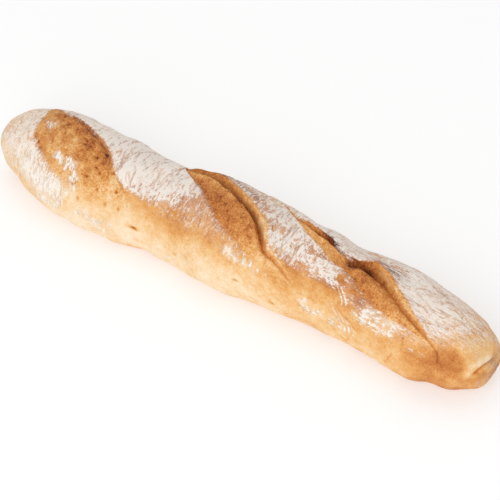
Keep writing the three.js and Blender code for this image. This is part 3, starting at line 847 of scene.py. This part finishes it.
def loaf_mesh():
    """The loaf's skin, with the values for its look kept at its points."""
    x = np.repeat(ring_places()[:, None], COLUMNS, 1)
    phi = np.stack([column_places(v) for v in x[:, 0]])
    w = phi * MM_PER_DEGREE
    base, normal, height, shift, parts = surface(x, phi)
    torn, wall, shaded_crevice = (np.clip(sum(p[key] for p in parts), 0, 1) for key in ("torn", "wall", "shaded_crevice"))

    crumb = cloud(base, 4.2, 21, 3)
    skin = cloud(base * [0.5, 1, 1], 5.0, 31, 2)
    pits = pit_field(x, phi)
    wrinkles = wrinkle_field(x, phi, base)
    pocket = sum(place_bell(x, phi, *place) for place in POCKET)
    roughness = ROUGH_SKIN + ROUGH_TORN * torn + ROUGH_WALL * wall + ROUGH_POCKET * np.clip(pocket, 0, 1)
    height = height + LUMP_HEIGHT * cloud(base, 12.0, 11, 3) + roughness * crumb
    height = height + SKIN_HEIGHT * (1 - torn) * skin - PIT_DEPTH * pits + WRINKLE_HEIGHT * wrinkles
    points = base + normal * height[..., None] + shift
    points[..., 2] = np.maximum(points[..., 2], 0)  # the flat base
    mesh = grid_mesh("loaf", points, tip(-HALF), tip(HALF))

    cracks = crack_field(x, w, base)
    browner, flour_left = scorched_and_shaded(x, parts)
    bake_and_shade = cut_tone_with_painted_light(plain_bake_and_shade(x, phi, base), x, phi, base, parts, crumb) + browner
    # painted shade on the far side's upper part, fading out towards the right end
    far_shade = window(-phi, 24, 52, 80, 110) * (1 - ramp(x, 90, 130))
    bake_and_shade = bake_and_shade + FAR_SIDE_PAINTED_SHADE * far_shade + seam_bake(x, phi)
    # painted shade in the pits and in the hollows under the third ear; the cracks are darker crust
    bake_and_shade = bake_and_shade + CRACK_BAKE * cracks + PIT_PAINTED_SHADE * pits + POCKET_PAINTED_SHADE * pocket

    # between its two deep parts the third crevice is closed, and the floured skin reaches over it
    closed = window(x, 62, 68, 76, 82) * ramp(parts[2]["d"], -0.6, 0.2)
    bare = np.clip(torn + wall + shaded_crevice, 0, 1) * (1 - closed)
    dense_edge = curve(x, DENSE_EDGE) + 9 * cloud(base, 14, 62, 3)
    flour = flour_cover(x, phi, base, dense_edge, bare, shaded_crevice, flour_left, wrinkles)

    # where the flour lies softly, without sharp edges: the two ends and the haze below the first band
    haze_zone = 0.85 * window(x, -62, -40, 4, 22) * ramp(phi - dense_edge, -4, 10)
    left_cap = 1 - ramp(x + 0.12 * phi, -168, -134)
    soft = np.maximum(np.maximum(ramp(x, 120, 156), left_cap), haze_zone) * (1 - torn)

    store(mesh, "bake_and_shade", bake_and_shade)
    store(mesh, "flour", flour)
    store(mesh, "torn", np.clip(torn + wall, 0, 1) * (1 - closed))
    store(mesh, "crack", cracks)
    store(mesh, "lengthwise", ramp(x, 30, 90))
    store(mesh, "soft", soft)
    store(mesh, "skin", np.stack([x, w, 0 * x], -1) / 1000)
    return mesh


def srgb(r, g, b):
    """Linear colour from 8-bit display values."""
    out = []
    for v in (r, g, b):
        v = v / 255
        out.append(v / 12.92 if v <= 0.04045 else ((v + 0.055) / 1.055) ** 2.4)
    return (*out, 1.0)


class Nodes:
    """Small helper that adds and joins shader nodes."""

    def __init__(self, material):
        self.tree = material.node_tree

    def add(self, kind, inputs=None, **settings):
        node = self.tree.nodes.new(kind)
        for key, value in settings.items():
            setattr(node, key, value)
        for key, value in (inputs or {}).items():
            if isinstance(value, bpy.types.NodeSocket):
                self.tree.links.new(value, node.inputs[key])
            else:
                node.inputs[key].default_value = value
        return node

    def attribute(self, name, output="Fac"):
        node = self.add("ShaderNodeAttribute", attribute_name=name, attribute_type="GEOMETRY")
        return node.outputs[output]

    def math(self, operation, a, b=0.0, c=0.0):
        return self.add("ShaderNodeMath", {0: a, 1: b, 2: c}, operation=operation).outputs[0]

    def noise(self, place, size_mm, detail=3.0, roughness=0.55, stretch=None):
        if stretch:
            stretched = self.add("ShaderNodeVectorMath", {0: place, 1: stretch}, operation="MULTIPLY")
            place = stretched.outputs[0]
        inputs = {"Vector": place, "Scale": 1000 / size_mm, "Detail": detail, "Roughness": roughness}
        return self.add("ShaderNodeTexNoise", inputs).outputs["Fac"]

    def swing(self, noise, share, onto):
        """Adds a share of a noise, shifted so that it swings round 0, to a value."""
        return self.math("MULTIPLY_ADD", self.math("SUBTRACT", noise, 0.5), share, onto)

    def streaks(self, skin_place, size_mm, narrow):
        """Streaky noise: round the loaf on its left, along it on its right."""
        around = self.noise(skin_place, size_mm, 4.0, 0.6, (1.0, narrow, 1.0))
        along = self.noise(skin_place, size_mm, 4.0, 0.6, (narrow, 1.0, 1.0))
        return self.blend(self.attribute("lengthwise"), around, along)

    def blend(self, share, a, b):
        return self.add("ShaderNodeMix", {0: share, 2: a, 3: b}, data_type="FLOAT").outputs[0]

    def ramp(self, value, low, high):
        inputs = {"Value": value, "From Min": low, "From Max": high}
        return self.add("ShaderNodeMapRange", inputs, interpolation_type="SMOOTHSTEP").outputs["Result"]

    def mix(self, share, a, b):
        """A mix of two colours; 6 and 7 are the node's colour sockets."""
        return self.add("ShaderNodeMix", {0: share, 6: a, 7: b}, data_type="RGBA").outputs[2]


def crust_colour(n, place, fine, medium):
    """The baked crust's colour, grainier where the dough is torn."""
    torn = n.attribute("torn")
    grain_share = n.math("MULTIPLY_ADD", torn, 0.42, 0.42)
    lump_share = n.math("MULTIPLY_ADD", torn, 0.30, 0.24)
    tone = n.swing(fine, grain_share, n.attribute("bake_and_shade"))
    tone = n.swing(medium, lump_share, tone)
    tone = n.swing(n.noise(place, 7.0, 3.0), 0.36, tone)
    node = n.add("ShaderNodeValToRGB", {"Fac": tone})
    stops = node.color_ramp.elements
    stops[0].position, stops[1].position = CRUST[0][0], CRUST[-1][0]
    for position, _ in CRUST[1:-1]:
        stops.new(position)
    for stop, (_, colour) in zip(stops, CRUST):
        stop.color = srgb(*colour)
    return node.outputs["Color"]


def crust_material():
    material = bpy.data.materials.new("crust")
    material.use_nodes = True
    n = Nodes(material)
    shader = material.node_tree.nodes["Principled BSDF"]
    place = n.add("ShaderNodeTexCoord").outputs["Object"]
    skin_place = n.attribute("skin", "Vector")
    flour = n.attribute("flour")
    medium = n.noise(place, 3.2, 3.0)
    fine = n.noise(place, 1.0, 2.0)
    baked = crust_colour(n, place, fine, medium)

    # thin lines where the floured skin cracked
    streaks = n.streaks(skin_place, 2.2, 0.30)
    lines = n.math("ABSOLUTE", n.math("SUBTRACT", n.streaks(skin_place, 5.0, 0.16), 0.5))
    lines = n.math("SUBTRACT", 1.0, n.ramp(lines, 0.0, 0.026))
    lines = n.math("MULTIPLY", lines, n.ramp(n.noise(place, 9.0, 2.0), 0.47, 0.56))
    lines = n.math("MAXIMUM", lines, n.attribute("crack"))

    # speckles, streaks, threads and blotches break the flour up
    breaks = n.swing(n.noise(place, 1.1, 3.0, 0.6), 1.8, 0.0)
    breaks = n.swing(streaks, 2.1, breaks)
    breaks = n.swing(n.streaks(skin_place, 1.0, 0.30), 2.2, breaks)
    breaks = n.swing(n.noise(place, 9.0, 4.0, 0.6), 1.2, breaks)
    amount = n.math("MULTIPLY_ADD", breaks, n.ramp(flour, 0.02, 0.34), flour)
    thick = n.blend(n.attribute("soft"), n.ramp(amount, 0.36, 0.90), n.ramp(amount, 0.1, 1.4))
    haze = n.math("MULTIPLY", n.ramp(flour, 0.05, 0.95), 0.30)
    cover = n.math("MAXIMUM", n.math("MULTIPLY", thick, 0.92), haze)
    cover = n.math("MULTIPLY", cover, n.math("MULTIPLY_ADD", lines, -0.70, 1.0))
    n.tree.links.new(n.mix(cover, baked, srgb(*FLOUR)), shader.inputs["Base Color"])
    n.tree.links.new(n.math("MULTIPLY_ADD", cover, 0.22, 0.68), shader.inputs["Roughness"])
    shader.inputs["Specular IOR Level"].default_value = 0.3

    floured = n.ramp(flour, 0.05, 0.45)
    relief = n.math("MULTIPLY_ADD", fine, 0.9, medium)
    relief = n.math("MULTIPLY_ADD", thick, 0.35, relief)
    relief = n.math("MULTIPLY_ADD", n.math("MULTIPLY", lines, floured), -0.8, relief)
    relief = n.math("MULTIPLY_ADD", n.math("MULTIPLY", streaks, floured), 0.3, relief)
    bump = n.add("ShaderNodeBump", {"Height": relief, "Strength": 0.65, "Distance": 0.0007})
    n.tree.links.new(bump.outputs["Normal"], shader.inputs["Normal"])
    return material


def dress_loaf():
    mesh = loaf_mesh()
    loaf = bpy.data.objects.new("loaf", mesh)
    bpy.context.scene.collection.objects.link(loaf)
    mesh.materials.append(crust_material())
    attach(loaf, "root")
    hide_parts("loaf")


def stage_floor():
    sides = ((-1, -1), (1, -1), (1, 1), (-1, 1))
    corners = [(x * FLOOR_HALF, y * FLOOR_HALF, FLOOR_LEVEL) for x, y in sides]
    mesh = bpy.data.meshes.new("floor")
    mesh.from_pydata(corners, [], [(0, 1, 2, 3)])
    finish = bpy.data.materials.new("floor")
    finish.use_nodes = True
    shader = finish.node_tree.nodes["Principled BSDF"]
    shader.inputs["Base Color"].default_value = srgb(*FLOOR)
    shader.inputs["Roughness"].default_value = 0.9
    shader.inputs["Emission Color"].default_value = (1, 1, 1, 1)
    shader.inputs["Emission Strength"].default_value = FLOOR_GLOW
    mesh.materials.append(finish)
    floor = bpy.data.objects.new("floor", mesh)
    bpy.context.scene.collection.objects.link(floor)


def area_light(name, position, target, size, power):
    light = bpy.data.lights.new(name, "AREA")
    light.energy, light.size = power, size
    lamp = bpy.data.objects.new(name, light)
    lamp.location = position
    lamp.rotation_mode = "QUATERNION"
    lamp.rotation_quaternion = (Vector(target) - Vector(position)).to_track_quat("-Z", "Y")
    bpy.context.scene.collection.objects.link(lamp)


def direction(azimuth, elevation):
    """From the object towards a camera or light at that azimuth and elevation, in degrees."""
    a, e = math.radians(azimuth), math.radians(elevation)
    return Vector((math.sin(a) * math.cos(e), -math.cos(a) * math.cos(e), math.sin(e)))


def studio():
    area_light("key", direction(12, 36) * KEY_DISTANCE, (0, 0, 0.02), KEY_SIZE, KEY_POWER)
    area_light("top", (-0.3, 0.5, 1.7), (0, 0, 0), TOP_SIZE, TOP_POWER)
    world = bpy.data.worlds.new("studio")
    world.use_nodes = True
    background = world.node_tree.nodes["Background"]
    background.inputs["Color"].default_value = (1, 1, 1, 1)
    background.inputs["Strength"].default_value = SKY_LIGHT
    bpy.context.scene.world = world
    bpy.context.scene.view_settings.view_transform = "Standard"


def camera():
    back = direction(CAMERA_AZIMUTH, CAMERA_ELEVATION)
    data = bpy.data.cameras.new("camera")
    data.lens, data.sensor_width = CAMERA_LENS, CAMERA_SENSOR
    shot = bpy.data.objects.new("camera", data)
    shot.location = Vector(CAMERA_TARGET) + back * CAMERA_DISTANCE
    shot.rotation_mode = "QUATERNION"
    shot.rotation_quaternion = (-back).to_track_quat("-Z", "Y")
    bpy.context.scene.collection.objects.link(shot)
    bpy.context.scene.camera = shot


dress_loaf()
stage_floor()
studio()
camera()
